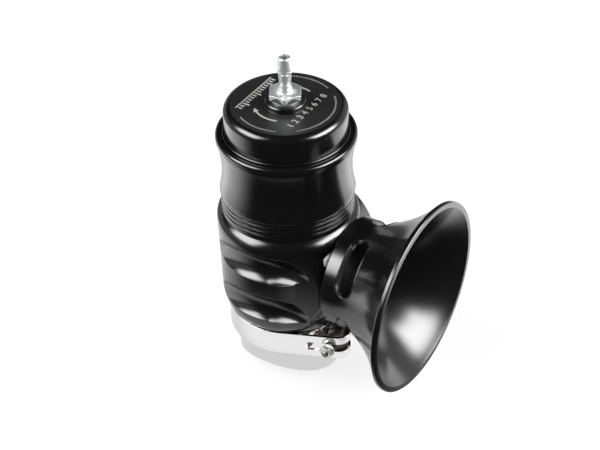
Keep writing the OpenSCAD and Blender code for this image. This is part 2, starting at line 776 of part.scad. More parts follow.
// Turned trumpet, slotted round its neck
module trumpet() {
    mouth_x = bell_x - bell_edge;
    inner = flare(trumpet_wall, -acos((mouth_x - flare_c2[0]) / (flare_r + trumpet_wall)));
    lip = inner[len(inner) - 1];
    outside = concat([[trumpet_x, trumpet_r - bell_edge], [trumpet_x + bell_edge, trumpet_r]],
        flare(0, flare_end),
        [[mouth_x, bell_r], [bell_x, bell_r - bell_edge], [bell_x, lip[1] + bell_edge]]);
    inside = concat([for (i = [len(inner) - 1:-1:0]) inner[i]],
        [[port_end_x + fit_gap, trumpet_r - trumpet_wall], [port_end_x + fit_gap, socket_r],
            [trumpet_x, socket_r]]);
    color(black) difference() {
        along_x(0) rotate_extrude() polygon([for (p = concat(outside, inside)) [p[1], p[0]]]);
        for (i = [0:vent_count - 1]) translate([0, 0, outlet_z])
            rotate([vent_turn + 90 * i, 0, 0]) vent();
        along_x(clip_x) torus(port_r, clip_wire + fit_gap);
    }
}

// One round-ended slot, centred on the side of the neck that faces up
module vent() {
    low = port_r - 2 * over;
    high = trumpet_r + vent_reach;
    rotate([0, 90, 0]) rotate([0, 0, 180 - vent_span / 2]) rotate_extrude(angle = vent_span)
        translate([low, trumpet_x + vent_x - vent_w / 2 + sink]) square([high - low, vent_w - 2 * sink]);
    for (s = [-1, 1]) rotate([s * vent_span / 2, 0, 0])
        translate([trumpet_x + vent_x, 0, low]) cylinder(r = vent_w / 2, h = high - low);
}

module trumpet_o_ring() {
    color(rubber) along_x(port_ring_x) torus(port_r - small_wire + seal_gap, small_wire);
}

// Wire clip that keeps the trumpet on its spigot
module trumpet_clip() {
    color(zinc) along_x(clip_x) torus(port_r, clip_wire);
}

weld_flange();
flange_o_ring();
clamp_strap();
clamp_segments();
clamp_trunnion();
clamp_bolt();
clamp_washer();
clamp_nut();
body();
liner();
liner_o_rings();
piston();
piston_seal();
piston_rings();
main_spring();
spring_seat();
thrust_washer();
collar();
collar_o_ring();
cap();
cap_o_ring();
hose_fitting();
fitting_washer();
trumpet();
trumpet_o_ring();
trumpet_clip();
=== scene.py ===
import bpy
import bmesh
import math
import numpy as np
from mathutils import Matrix, Vector


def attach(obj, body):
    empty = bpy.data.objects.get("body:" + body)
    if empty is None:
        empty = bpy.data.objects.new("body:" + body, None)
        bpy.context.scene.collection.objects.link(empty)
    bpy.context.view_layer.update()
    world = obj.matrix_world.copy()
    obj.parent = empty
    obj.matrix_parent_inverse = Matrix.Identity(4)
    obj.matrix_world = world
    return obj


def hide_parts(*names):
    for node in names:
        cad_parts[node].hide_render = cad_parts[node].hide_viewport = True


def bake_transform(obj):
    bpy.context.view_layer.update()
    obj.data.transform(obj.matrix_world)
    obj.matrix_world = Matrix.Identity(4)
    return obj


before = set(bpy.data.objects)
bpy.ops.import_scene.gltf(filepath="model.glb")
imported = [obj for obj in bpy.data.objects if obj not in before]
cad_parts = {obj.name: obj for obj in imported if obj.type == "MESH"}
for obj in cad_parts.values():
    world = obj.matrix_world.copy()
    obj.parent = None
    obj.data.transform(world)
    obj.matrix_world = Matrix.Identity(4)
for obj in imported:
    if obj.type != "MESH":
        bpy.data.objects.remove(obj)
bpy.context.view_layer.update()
mm = 0.001

# sizes are in mm, angles in degrees, in the part's own frame

# finishes: grain is the scale of the noise, edge rounds the edges in the shading, bump is how much the grain is felt
black = {"colour": (0.0055, 0.0055, 0.006), "metal": 0.0, "grain": 900, "edge": 0.45, "bump": 0.012}
bare = {"metal": 1.0, "grain": 600, "spread": 0.07, "edge": 0.2, "bump": 0.02}
finishes = {
    "black_anodised": {**black, "name": "Black Anodised", "rough": 0.17, "spread": 0.03},
    "satin": {**black, "name": "Black Satin", "rough": 0.22, "spread": 0.03},
    "top": {**black, "name": "Black Cap Top", "rough": 0.50, "spread": 0.05},
    # dark grey for the piston: painted shade, for the shade inside the body
    "shadedPiston": {
        "name": "Piston Painted Shade", "colour": (0.045, 0.045, 0.047), "metal": 0.0, "grain": 900,
        "rough": 0.38, "spread": 0.08, "edge": 0.3, "bump": 0.015,
    },
    "polished_steel": {
        "name": "Polished Steel", "colour": (0.80, 0.79, 0.79), "metal": 1.0, "grain": 420, "stretch": (1, 1, 9),
        "rough": 0.09, "spread": 0.04, "edge": 0.25, "bump": 0.01,
    },
    # dark warm steel: painted shade, for the clamp's inner pieces and the strap's inside, which lie in shade
    "shadedSteel": {
        "name": "Steel Painted Shade", "colour": (0.17, 0.155, 0.145), "metal": 1.0, "grain": 800,
        "rough": 0.46, "spread": 0.10, "edge": 0.3, "bump": 0.02,
    },
    "zinc_steel": {
        "name": "Zinc Steel", "colour": (0.66, 0.68, 0.67), "metal": 0.75, "grain": 700, "stretch": (1, 1, 4),
        "rough": 0.36, "spread": 0.08, "edge": 0.2, "bump": 0.02,
    },
    "spring_steel": {**bare, "name": "Spring Steel", "colour": (0.42, 0.43, 0.45), "rough": 0.28},
    "bare_aluminium": {**bare, "name": "Bare Aluminium", "colour": (0.80, 0.81, 0.82), "rough": 0.24},
    "liner_bronze": {**bare, "name": "Liner Bronze", "colour": (0.60, 0.42, 0.22), "rough": 0.30},
    "seal_rubber": {
        "name": "Seal Rubber", "colour": (0.012, 0.012, 0.012), "metal": 0.0, "grain": 1500,
        "rough": 0.55, "spread": 0.08, "specular": 0.4,
    },
    "ink": {
        "name": "Mark Ink", "colour": (0.50, 0.50, 0.47), "metal": 0.0, "grain": 2500,
        "rough": 0.42, "spread": 0.08, "specular": 0.4,
    },
}
grainDepth = 0.1

capMarks = {
    "topZ": 135.3, "sunk": 0.02, "thick": 0.05,
    "tickRadius": 22.3, "tickLong": 0.75, "tickWide": 0.26, "tickStep": 2.0,
    "sectors": ((-44, 45), (65, 114), (-119, -69)),
    "arrowRadius": 14.3, "arrowFrom": -73, "arrowTo": -122, "arrowWide": 0.75, "arrowSteps": 24,
    "headLong": 3.0, "headWide": 2.6,
    "digits": "12345678", "digitSize": 4.6, "digitStep": 3.9, "digitX": 11.4,
    "ruleX": -17.4, "ruleLong": 28.6, "ruleWide": 0.55,
    "combTicks": 15, "combEvery": 5, "combLong": 3.6, "combShort": 0.6, "combWide": 0.8, "combGap": 0.5,
}
# the lip runs along edges between the outside and a slot's wall: how far each faces out, and the turn in radians
ventLip = {
    "radius": 0.42, "sunk": 0.22, "step": 0.7, "from": 38, "to": 51,
    "outside": 0.7, "wall": 0.4, "corner": 0.9,
}
boltThread = {
    "x": 33.47, "z": 18.4, "from": 19.6, "to": 23.2, "radius": 1.42, "pitch": 0.5, "wire": 0.17,
    "pointsPerTurn": 20, "step": 0.3,
}
# where the spring is cut in two, and the heights of its two tips
mainSpring = {"cut": 88.0, "lowTip": 37.2, "highTip": 98.4, "sharp": 40}

flutes = {
    "radius": 9.5, "depth": 3.6, "crests": (41.0, 65.0), "drop": 12.0, "turn": 5.0, "wall": 32.4, "flat": 25.6,
    "full": (-8.0, 10.0), "ends": (-55.0, 46.0), "over": 1.3, "blend": 1.2, "tight": 0.0, "steepest": 0.98,
}
# the same wall as the gloss shows it: the round runs gently into the flat side, over the shoulder and in at the foot
soft = {
    "flat": 30.0, "blend": 1.5, "over": 0.45, "tight": 0.48,
    "inside": 28.0, "low": 24.9, "high": 80.45, "agree": 0.8, "agreeOnDrum": 0.95,
    "shoulderFrom": 72.3, "shoulderRadius": 10.0, "shoulderMost": 0.8, "flatTo": 76.0, "flatFade": 3.0,
    "wallLean": 0.03, "footTo": 33.0, "footRadius": 12.0, "footMost": 0.6,
    "drumRound": 1.0, "drumFrom": 10.0, "drumOver": 12.0,
}
# how closely a face has to follow a turned surface, a flute's floor or an axis
sorting = {"slip": 0.05, "fluteMiss": 0.3, "fluteAlike": 0.9, "square": 0.002, "stray": 0.92, "straight": 0.01}
# points this close are merged, and edges this short are dissolved
weld, sliver = 0.002, 0.001
# the slopes of the wall and the flutes are measured over these steps
angleStep, heightStep = 0.1, 0.02

studio = {
    "floorZ": -8.02, "floorHalf": 3000, "floorMatte": 0.32, "floorLift": 0.75, "floorUnseen": 0.6,
    "heading": -57.2, "aimZ": 60, "away": 1400,
    "leftAt": -76, "leftUp": 37, "leftSize": (1340, 1180), "leftPower": 21, "leftGlow": 17,
    "rightAt": 75, "rightUp": 32, "rightSize": (1520, 1000), "rightPower": 23, "rightGlow": 24,
    "cardSteps": 16, "cardFade": ((0.45, 1), (0.4, 1)), "fill": 0.20, "sky": 1.0,
}
# what the gloss shows of the room: its levels, and the angles, radii or heights over which they change
room = {
    "heading": -56.6, "angleStep": 3, "dark": 0.02, "table": 2.4, "back": 0.85, "foot": 0.78, "near": 0.8, "wall": 0.7,
    "leftIn": (-100, -56), "rightIn": (72, 92), "backIn": (125, 155), "nearFade": (45, 190), "frontFade": (62, 98),
    "footShadowFade": (42, 54), "edge": 300, "rightEdge": 400, "rightEdgeIn": (60, 80), "rightEdgeOut": (130, 150),
    "edgeDrop": 0.83, "edgeFade": (0.9, 1.3), "cardRaise": 0.4,
    "radii": (18, 34, 42, 46, 50, 54, 60, 66, 72, 82, 92, 102, 115, 135, 160, 190, 230, 270, 310, 360, 420, 600,
              750, 900, 2950),
    "wallRadius": 2900, "leftWall": (-70, -56), "leftWallTop": (9, 16),
    "rightWall": (60, 100), "rightWallEnd": (140, 158), "rightWallTop": (20, 52),
    "lifts": (0, 5, 10, 14, 20, 30, 40, 50, 60, 70, 80, 88),
}
view = {
    "place": (303.0, -460.0, 501.7), "right": (0.8471, 0.5312, -0.0162), "up": (-0.3186, 0.5320, 0.7846),
    "lens": 89.56, "sensor": 36, "clip": (0.01, 20),
}


# materials
def newMaterial(name):
    mat = bpy.data.materials.new(name)
    mat.use_nodes = True
    tree = mat.node_tree
    tree.nodes.clear()
    return mat, tree


def add(tree, kind, **values):
    node = tree.nodes.new(kind)
    for key, value in values.items():
        if hasattr(node, key):
            setattr(node, key, value)
        else:
            node.inputs[key].default_value = value
    return node


def roundEdges(tree, shader, grain, look):
    # edges catch the light as if they were rounded, and the grain is just felt
    bevel = add(tree, "ShaderNodeBevel", samples=6, Radius=look["edge"] * mm)
    bump = add(tree, "ShaderNodeBump", Strength=look["bump"], Distance=grainDepth * mm)
    tree.links.new(grain.outputs["Fac"], bump.inputs["Height"])
    tree.links.new(bevel.outputs["Normal"], bump.inputs["Normal"])
    tree.links.new(bump.outputs["Normal"], shader.inputs["Normal"])


def finished(look):
    mat, tree = newMaterial(look["name"])
    link = tree.links.new
    out = add(tree, "ShaderNodeOutputMaterial")
    shader = add(tree, "ShaderNodeBsdfPrincipled")
    shader.inputs["Base Color"].default_value = (*look["colour"], 1)
    shader.inputs["Metallic"].default_value = look["metal"]
    shader.inputs["Specular IOR Level"].default_value = look.get("specular", 0.5)
    coords = add(tree, "ShaderNodeTexCoord")
    place = add(tree, "ShaderNodeMapping", Scale=look.get("stretch", (1, 1, 1)))
    link(coords.outputs["Object"], place.inputs["Vector"])
    grain = add(tree, "ShaderNodeTexNoise", Scale=look["grain"], Detail=4.0, Roughness=0.6)
    link(place.outputs["Vector"], grain.inputs["Vector"])
    rough = add(tree, "ShaderNodeMapRange")
    rough.inputs["To Min"].default_value = look["rough"] - look["spread"]
    rough.inputs["To Max"].default_value = look["rough"] + look["spread"]
    link(grain.outputs["Fac"], rough.inputs["Value"])
    link(rough.outputs["Result"], shader.inputs["Roughness"])
    if "edge" in look:
        roundEdges(tree, shader, grain, look)
    link(shader.outputs["BSDF"], out.inputs["Surface"])
    return mat


mats = {key: finished(look) for key, look in finishes.items()}
print("materials:", len(mats))


# smooth normals for the pieces made from the construction's meshes
def readMesh(mesh):
    verts = np.empty(len(mesh.vertices) * 3, dtype=np.float32)
    mesh.vertices.foreach_get("co", verts)
    corner = np.empty(len(mesh.loops), dtype=np.int32)
    mesh.loops.foreach_get("vertex_index", corner)
    faceNormal = np.empty(len(mesh.polygons) * 3, dtype=np.float32)
    mesh.polygons.foreach_get("normal", faceNormal)
    return verts.reshape(-1, 3), corner.reshape(-1, 3), faceNormal.reshape(-1, 3)


def rowDot(one, two):
    return np.einsum("ij,ij->i", one, two)


def toLength(rows):
    return rows / np.maximum(np.linalg.norm(rows, axis=1, keepdims=True), 1e-9)


def armFrom(points, axis, through):
    # which way each point lies out from an axis, how far out in mm, and how far along
    arm = points - np.array(through, dtype=np.float32) * mm
    along = arm @ axis
    arm = arm - along[:, None] * axis
    size = np.linalg.norm(arm, axis=1)
    return arm / np.maximum(size, 1e-9)[:, None], size / mm, along / mm


def byArea(mesh):
    # corner normals in which the large faces count for more, so that flats stay flat beside a round
    obj = bpy.data.objects.new("work", mesh)
    bpy.context.scene.collection.objects.link(obj)
    mod = obj.modifiers.new("Weighted", "WEIGHTED_NORMAL")
    mod.mode, mod.weight, mod.keep_sharp = "FACE_AREA", 50, True
    graph = bpy.context.evaluated_depsgraph_get()
    graph.update()
    done = obj.evaluated_get(graph).data
    normals = np.empty(len(done.loops) * 3, dtype=np.float32)
    done.corner_normals.foreach_get("vector", normals)
    bpy.data.objects.remove(obj)
    return normals.reshape(-1, 3)


def roundBody(points):
    # each point's y and z in mm, its angle from the middle of the side and its distance from the axis
    x, y, z = (points / mm).astype(np.float64).T
    return y, z, np.degrees(np.arctan2(x, np.abs(y))), np.hypot(x, y)


def wallForm(a, look):
    # how far out the wall is, at an angle round the body
    flat = look["flat"] / np.cos(np.radians(np.clip(a, 0, 80)))
    return (flutes["wall"] + flat + np.hypot(flutes["wall"] - flat, look["blend"])) / 2


def fluteForm(a, z, crest, look):
    # how far out a flute's floor is, at an angle round the body and a height
    look = {**flutes, **look}
    most = look["steepest"]
    d = a - look["turn"]
    for step in range(8):  # the cutter leans along its arch, so its angle settles in a few rounds
        lean = np.arctan2(-look["drop"] * np.sin(np.radians(d)), look["wall"])
        fall = look["drop"] * (1 - np.cos(np.radians(d)))
        rise = np.clip((z - crest + fall) / (look["radius"] * np.cos(lean)), -most, most)
        d = a - look["turn"] + np.degrees(np.arctan2(look["radius"] * rise * np.sin(lean), look["wall"]))
    full, end = (np.where(d < 0, *look[key]) for key in ("full", "ends"))
    out = np.maximum(0, (d - full) / (end - full))
    rise = np.clip(rise * (1 + look["tight"] * np.where(d > 0, np.minimum(out, 1), 0)), -most, most)
    shallow = look["over"] * look["depth"] * out ** 2
    return wallForm(a, look) + look["radius"] * (1 - np.sqrt(1 - rise * rise)) - look["depth"] + shallow


def fluteNormals(points, look):
    # the flutes' own normals at these points, and how far each point is from a flute's floor
    y, z, a, r = roundBody(points)
    out, side = np.radians(a), np.sign(y)
    best, normals = np.full(len(points), 1e9), np.zeros((len(points), 3))
    for crest in flutes["crests"]:
        miss = np.abs(fluteForm(a, z, crest, {}) - r)
        turn = fluteForm(a + angleStep, z, crest, look) - fluteForm(a - angleStep, z, crest, look)
        turn /= np.radians(2 * angleStep) * r
        lift = fluteForm(a, z + heightStep, crest, look) - fluteForm(a, z - heightStep, crest, look)
        lift /= 2 * heightStep
        normal = np.stack(
            (np.sin(out) - turn * np.cos(out), side * (np.cos(out) + turn * np.sin(out)), -lift), axis=1)
        nearer = miss < best
        best[nearer], normals[nearer] = miss[nearer], toLength(normal)[nearer]
    return normals, best


def softWall(points, normals, faceNormal, onDrum):
    # the wall's normals with the round, the flat side and the shoulder run together
    y, z, a, r = roundBody(points)
    turn = wallForm(a + angleStep, soft) - wallForm(a - angleStep, soft)
    turn /= np.radians(2 * angleStep) * wallForm(a, soft)
    turn *= np.clip((soft["flatTo"] - z) / soft["flatFade"], 0, 1)  # the flat side ends where the shoulder turns in
    heading = np.radians(a) - np.arctan(turn)
    rise = np.clip((z - soft["shoulderFrom"]) / soft["shoulderRadius"], 0, soft["shoulderMost"])
    straight = np.where(z > soft["footTo"], np.clip(normals[:, 2], -soft["wallLean"], 0), normals[:, 2])
    fall = np.clip((soft["footTo"] - z) / soft["footRadius"], 0, soft["footMost"])
    up = np.where(z > soft["shoulderFrom"], rise, np.minimum(straight, -fall))
    flat = np.sqrt(1 - np.minimum(up * up, 1))
    smooth = np.stack((np.sin(heading) * flat, np.sign(y) * np.cos(heading) * flat, up), axis=1)
    agrees = rowDot(smooth, faceNormal) > np.where(onDrum, soft["agreeOnDrum"], soft["agree"])
    fits = (r > soft["inside"]) & (z > soft["low"]) & (z < soft["high"]) & agrees
    return np.where(fits[:, None], smooth, normals)


def sortFaces(verts, corner, faceNormal, turning, fluted):
    # each face's turned surface, counted from 1; then the flutes; -1 for flats square to an axis, 0 for the rest
    middle = verts[corner].mean(axis=1)
    kind = np.zeros(len(corner), dtype=np.int32)
    for number, (axis, through, bands) in enumerate(turning, 1):
        line = np.array(axis, dtype=np.float32)
        size, along = armFrom(verts, line, through)[1:]
        slip = np.abs(rowDot(np.cross(line, armFrom(middle, line, through)[0]), faceNormal))
        inside = np.zeros(len(corner), dtype=bool)
        for low, high, start, stop in bands:
            fits = (size >= low) & (size <= high) & (along >= start) & (along <= stop)
            inside |= fits[corner].all(axis=1)
        kind[(kind == 0) & inside & (slip < sorting["slip"])] = number
    if fluted:
        sweep, missMiddle = fluteNormals(middle, {})
        miss = fluteNormals(verts, {})[1]
        close = (miss < sorting["fluteMiss"])[corner].all(axis=1) & (missMiddle < sorting["fluteMiss"])
        likeFlute = rowDot(sweep, faceNormal)
        likeWall = rowDot(armFrom(middle, np.array(upright[0], dtype=np.float32), upright[1])[0], faceNormal)
        isFlute = (kind == 0) & close & (likeFlute > sorting["fluteAlike"]) & (likeFlute > likeWall)
        kind[isFlute] = len(turning) + 1
        print("flute faces:", np.count_nonzero(isFlute))
    kind[(np.ptp(verts[corner], axis=1) < sorting["square"] * mm).any(axis=1)] = -1
    return kind


def splitKinds(mesh, kind):
    # an edge between two kinds of surface is sharp
    work = bmesh.new()
    work.from_mesh(mesh)
    for edge in work.edges:
        if len(edge.link_faces) == 2:
            one, two = (kind[face.index] for face in edge.link_faces)
            if one != two and min(one, two) >= 0:
                edge.smooth = False
    work.to_mesh(mesh)
    work.free()


def smoothTurned(mesh, turning, fluted=False):
    # each turned surface gets the exact normal of the turning, so that long triangles don't show in the gloss
    verts, corner, faceNormal = readMesh(mesh)
    kind = sortFaces(verts, corner, faceNormal, turning, fluted)
    splitKinds(mesh, kind)
    normals = byArea(mesh)
    at, loopKind, own = corner.ravel(), np.repeat(kind, 3), np.repeat(faceNormal, 3, axis=0)
    for number, (axis, through, bands) in enumerate(turning, 1):
        line = np.array(axis, dtype=np.float32)
        aside = np.cross(line, armFrom(verts, line, through)[0])[at]
        # a corner whose normal strays far from its own face's takes the face's
        strays = rowDot(normals, own) < sorting["stray"]
        fixed = np.where(strays[:, None], own, normals)
        fixed = fixed - rowDot(fixed, aside)[:, None] * aside
        # a straight wall's normals don't lean along the axis
        straight = np.abs(own @ line) < sorting["straight"]
        fixed[straight] -= (fixed[straight] @ line)[:, None] * line
        here = loopKind == number
        normals[here] = toLength(fixed)[here]
    flats = loopKind == -1
    normals[flats] = np.round(own)[flats]
    if fluted:
        inFlute, onDrum = loopKind == len(turning) + 1, loopKind == turning.index(drum) + 1
        normals[inFlute] = fluteNormals(verts, soft)[0][at][inFlute]
        wall = ~inFlute
        normals[wall] = softWall(verts[at][wall], normals[wall], own[wall], onDrum[wall])
        # the outlet drum's ends are well rounded over
        ends = verts[at][onDrum][:, 1]
        over = np.clip((np.abs(ends) / mm - soft["drumFrom"]) / soft["drumOver"], 0, 1)
        normals[onDrum, 1] += np.sign(ends) * soft["drumRound"] * over
        normals = toLength(normals)
    mesh.normals_split_custom_set(normals.tolist())


def linked(name, data):
    obj = bpy.data.objects.new(name, data)
    bpy.context.scene.collection.objects.link(obj)
    return obj


def copyMesh(nodeName, pieceName, looks):
    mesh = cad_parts[nodeName].data.copy()
    mesh.name = pieceName
    mesh.materials.clear()
    for look in looks:
        mesh.materials.append(mats[look])
    return mesh


def dressed(nodeName, pieceName, body, slotName, sharp=28, turning=(), look=None, other=None, fluted=False):
    # other is a second look, with the test for the faces that take it
    mesh = copyMesh(nodeName, pieceName, [look or slotName] + ([other[0]] if other else []))
    work = bmesh.new()
    work.from_mesh(mesh)
    bmesh.ops.remove_doubles(work, verts=work.verts, dist=weld * mm)
    bmesh.ops.dissolve_degenerate(work, edges=work.edges, dist=sliver * mm)
    bmesh.ops.triangulate(work, faces=work.faces)
    work.to_mesh(mesh)
    work.free()
    for face in mesh.polygons:
        face.material_index = 1 if other and other[1](face) else 0
    mesh.shade_smooth()
    mesh.set_sharp_from_angle(angle=math.radians(sharp))
    if turning:
        smoothTurned(mesh, turning, fluted)
    obj = linked(pieceName, mesh)
    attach(obj, body)
    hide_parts(nodeName)
    return obj


# turned surfaces: axis, a point on it, and bands of least radius, greatest radius, from and to along the axis
far = 1000
anywhere = ((0, far, -far, far),)
upright = ((0, 0, 1), (0, 0, 0), anywhere)
outward = ((1, 0, 0), (0, 0, 54.1), anywhere)
bodyWall = ((0, 0, 1), (0, 0, 0), (
    (0, 26, -far, far),  # bores
    (32.36, 40, -far, far),  # outer wall
    (0, 100, 80, far),  # shoulder and neck
    (0, 100, -far, 27),  # foot
))
drum = ((0, 1, 0), (4.1, 0, 54.9), ((27.5, 28.9, -33, 33),))
hollowNear = ((0, 0, 1), (23.03, -35.6, 0), ((9.9, 10.1, -far, far),))
hollowFar = ((0, 0, 1), (23.03, 35.6, 0), ((9.9, 10.1, -far, far),))


def facesIn(face):
    # the strap's inner side, which takes the dark steel as painted shade
    middle, normal = face.center, face.normal
    return middle.x * normal.x + middle.y * normal.y < -0.2 * middle.length


def facesBore(face):
    # what looks towards the trumpet's axis
    arm = armFrom(np.array([face.center]), np.array(outward[0]), outward[1])[0]
    return Vector(arm[0]).dot(face.normal) < -0.03


def facesUp(face):
    # the flat top of the cap
    return face.normal.z > 0.995 and face.center.z > (capMarks["topZ"] - 0.2) * mm


dressed("weld_flange", "InletFlange", "housing", "polished_steel", turning=(upright,))
# the clamp's inner pieces and the strap's inner side take the dark steel as painted shade
dressed("clamp_strap", "ClampStrap", "housing", "polished_steel", other=("shadedSteel", facesIn))
dressed("clamp_segments", "ClampSegments", "housing", "polished_steel", turning=(upright,), look="shadedSteel")
dressed("clamp_trunnion", "ClampTrunnion", "housing", "polished_steel", look="shadedSteel")
dressed("clamp_bolt", "ClampBolt", "housing", "polished_steel", look="shadedSteel")
dressed("clamp_washer", "ClampWasher", "housing", "polished_steel", look="zinc_steel")
dressed("clamp_nut", "ClampNut", "housing", "polished_steel", look="zinc_steel")
dressed("body", "ValveBody", "housing", "black_anodised",
        turning=(bodyWall, drum, hollowNear, hollowFar), fluted=True)
dressed("collar", "SpringHousing", "housing", "black_anodised", turning=(upright,))
trumpet = dressed("trumpet", "Trumpet", "housing", "black_anodised", turning=(outward,), other=("satin", facesBore))
dressed("cap", "AdjusterCap", "adjuster", "black_anodised", turning=(upright,), other=("top", facesUp))
dressed("hose_fitting", "HoseFitting", "adjuster", "zinc_steel")
dressed("fitting_washer", "FittingWasher", "adjuster", "zinc_steel", turning=(upright,))
# the piston takes a dark grey as painted shade
dressed("piston", "Piston", "piston", "bare_aluminium", turning=(upright,), look="shadedPiston")

# the other inner pieces keep their construction meshes
inner = {
    "flange_o_ring": "seal_rubber", "liner_o_rings": "seal_rubber", "piston_seal": "seal_rubber",
    "collar_o_ring": "seal_rubber", "cap_o_ring": "seal_rubber", "trumpet_o_ring": "seal_rubber",
    "liner": "liner_bronze", "piston_rings": "liner_bronze", "thrust_washer": "liner_bronze",
    "trumpet_clip": "spring_steel", "spring_seat": "zinc_steel",
}
for nodeName, slotName in inner.items():
    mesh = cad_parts[nodeName].data
    mesh.materials.clear()
    mesh.materials.append(mats[slotName])
print("pieces dressed, inner nodes:", len(inner))


def springEnd(pieceName, low):
    # one end of the spring, cut off where the spring is cut in two and closed over the cut
    cutZ, tipZ = mainSpring["cut"] * mm, mainSpring["lowTip" if low else "highTip"] * mm
    mesh = copyMesh("main_spring", pieceName, ["spring_steel"])
    work = bmesh.new()
    work.from_mesh(mesh)
    bmesh.ops.remove_doubles(work, verts=work.verts, dist=weld * mm)
    cut = bmesh.ops.bisect_plane(
        work, geom=work.verts[:] + work.edges[:] + work.faces[:], plane_co=(0, 0, cutZ), plane_no=(0, 0, 1),
        clear_outer=low, clear_inner=not low)
    rim = [part for part in cut["geom_cut"] if isinstance(part, bmesh.types.BMEdge)]
    bmesh.ops.edgeloop_fill(work, edges=rim)
    bmesh.ops.triangulate(work, faces=work.faces)
    bmesh.ops.recalc_face_normals(work, faces=work.faces)
    work.to_mesh(mesh)
    work.free()
    mesh.shade_smooth()
    mesh.set_sharp_from_angle(angle=math.radians(mainSpring["sharp"]))
    obj = linked(pieceName, mesh)
    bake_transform(obj)
    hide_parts("main_spring")


springEnd("MainSpringLower", True)
springEnd("MainSpringUpper", False)
print("spring made in two ends")


# node groups, for the rounded lips of the slots, the bolt's thread and the ticks on the cap
def nodeGroup(name, sizes):
    group = bpy.data.node_groups.new(name, "GeometryNodeTree")
    face = group.interface
    face.new_socket("Geometry", in_out="INPUT", socket_type="NodeSocketGeometry")
    face.new_socket("Geometry", in_out="OUTPUT", socket_type="NodeSocketGeometry")
    sockets = {size: face.new_socket(size, in_out="INPUT", socket_type="NodeSocketFloat") for size in sizes}
    given, out = group.nodes.new("NodeGroupInput"), group.nodes.new("NodeGroupOutput")
    return group, sockets, given, out


def closeGroup(group, geometry, out, mat, smooth):
    nodes, link = group.nodes, group.links.new
    if smooth:
        shade = nodes.new("GeometryNodeSetShadeSmooth")
        link(geometry, shade.inputs["Geometry"])
        geometry = shade.outputs["Geometry"]
    real = nodes.new("GeometryNodeRealizeInstances")
    link(geometry, real.inputs["Geometry"])
    paint = nodes.new("GeometryNodeSetMaterial")
    paint.inputs["Material"].default_value = mat
    link(real.outputs["Geometry"], paint.inputs["Geometry"])
    link(paint.outputs["Geometry"], out.inputs["Geometry"])


def wireAlong(name, sizes, mat):
    # a round wire that follows the edges of a mesh
    group, sockets, given, out = nodeGroup(name, sizes)
    nodes, link = group.nodes, group.links.new
    path = nodes.new("GeometryNodeMeshToCurve")
    link(given.outputs["Geometry"], path.inputs["Mesh"])
    even = nodes.new("GeometryNodeResampleCurve")
    even.mode = "LENGTH"
    link(path.outputs["Curve"], even.inputs["Curve"])
    link(given.outputs["Step"], even.inputs["Length"])
    rod = nodes.new("GeometryNodeCurvePrimitiveCircle")
    rod.inputs["Resolution"].default_value = 10
    link(given.outputs["Wire Radius"], rod.inputs["Radius"])
    sweep = nodes.new("GeometryNodeCurveToMesh")
    sweep.inputs["Fill Caps"].default_value = True
    link(even.outputs["Curve"], sweep.inputs["Curve"])
    link(rod.outputs["Curve"], sweep.inputs["Profile Curve"])
    closeGroup(group, sweep.outputs["Mesh"], out, mat, True)
    return group, sockets


def grown(obj, group, sockets, sizes):
    # the node group's result becomes the object's own plain mesh
    mod = obj.modifiers.new(group.name, "NODES")
    mod.node_group = group
    for size, value in sizes.items():
        mod[sockets[size].identifier] = value
    graph = bpy.context.evaluated_depsgraph_get()
    graph.update()
    done = bpy.data.meshes.new_from_object(obj.evaluated_get(graph))
    obj.modifiers.clear()
    obj.data = done
    return obj


def meshPiece(name, verts, faces, mat, edges=()):
    mesh = bpy.data.meshes.new(name)
    mesh.from_pydata(verts, edges, faces)
    mesh.materials.append(mat)
    return linked(name, mesh)


def wirePiece(name, groupName, verts, edges, look, radius, slotName):
    sizes = {"Wire Radius": radius * mm, "Step": look["step"] * mm}
    group, sockets = wireAlong(groupName, sizes, mats[slotName])
    obj = grown(meshPiece(name, verts, [], mats[slotName], edges), group, sockets, sizes)
    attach(obj, "housing")


def ventLips():
    look = ventLip
    axis, through = np.array(outward[0]), outward[1]
    work = bmesh.new()
    work.from_mesh(trumpet.data)
    verts, edges, known = [], [], {}
    for edge in work.edges:
        middle = (edge.verts[0].co + edge.verts[1].co) / 2
        if not look["from"] * mm < middle.x < look["to"] * mm or len(edge.link_faces) != 2:
            continue
        arm = Vector(armFrom(np.array([middle]), axis, through)[0][0])
        least, most = sorted(arm.dot(face.normal) for face in edge.link_faces)
        if most > look["outside"] and abs(least) < look["wall"] and edge.calc_face_angle() > look["corner"]:
            for vert in edge.verts:
                if vert.index not in known:
                    inward = Vector(armFrom(np.array([vert.co]), axis, through)[0][0]) * look["sunk"] * mm
                    known[vert.index] = len(verts)
                    verts.append(vert.co - inward)
            edges.append(tuple(known[vert.index] for vert in edge.verts))
    work.free()
    wirePiece("VentLips", "Vent Lip", verts, edges, look, look["radius"], "black_anodised")


def threadWire():
    look = boltThread
    length = look["to"] - look["from"]
    turns = length / look["pitch"]
    steps = int(turns * look["pointsPerTurn"])
    verts = []
    for i in range(steps + 1):
        angle = 2 * math.pi * turns * i / steps
        verts.append(((look["x"] + look["radius"] * math.cos(angle)) * mm,
                      (look["from"] + length * i / steps) * mm,
                      (look["z"] + look["radius"] * math.sin(angle)) * mm))
    edges = [(i, i + 1) for i in range(steps)]
    wirePiece("BoltThread", "Thread", verts, edges, look, look["wire"], "polished_steel")


ventLips()
threadWire()
print("lips and thread done")


# marks on the cap
def polar(radius, angle):
    return radius * math.cos(math.radians(angle)), radius * math.sin(math.radians(angle))


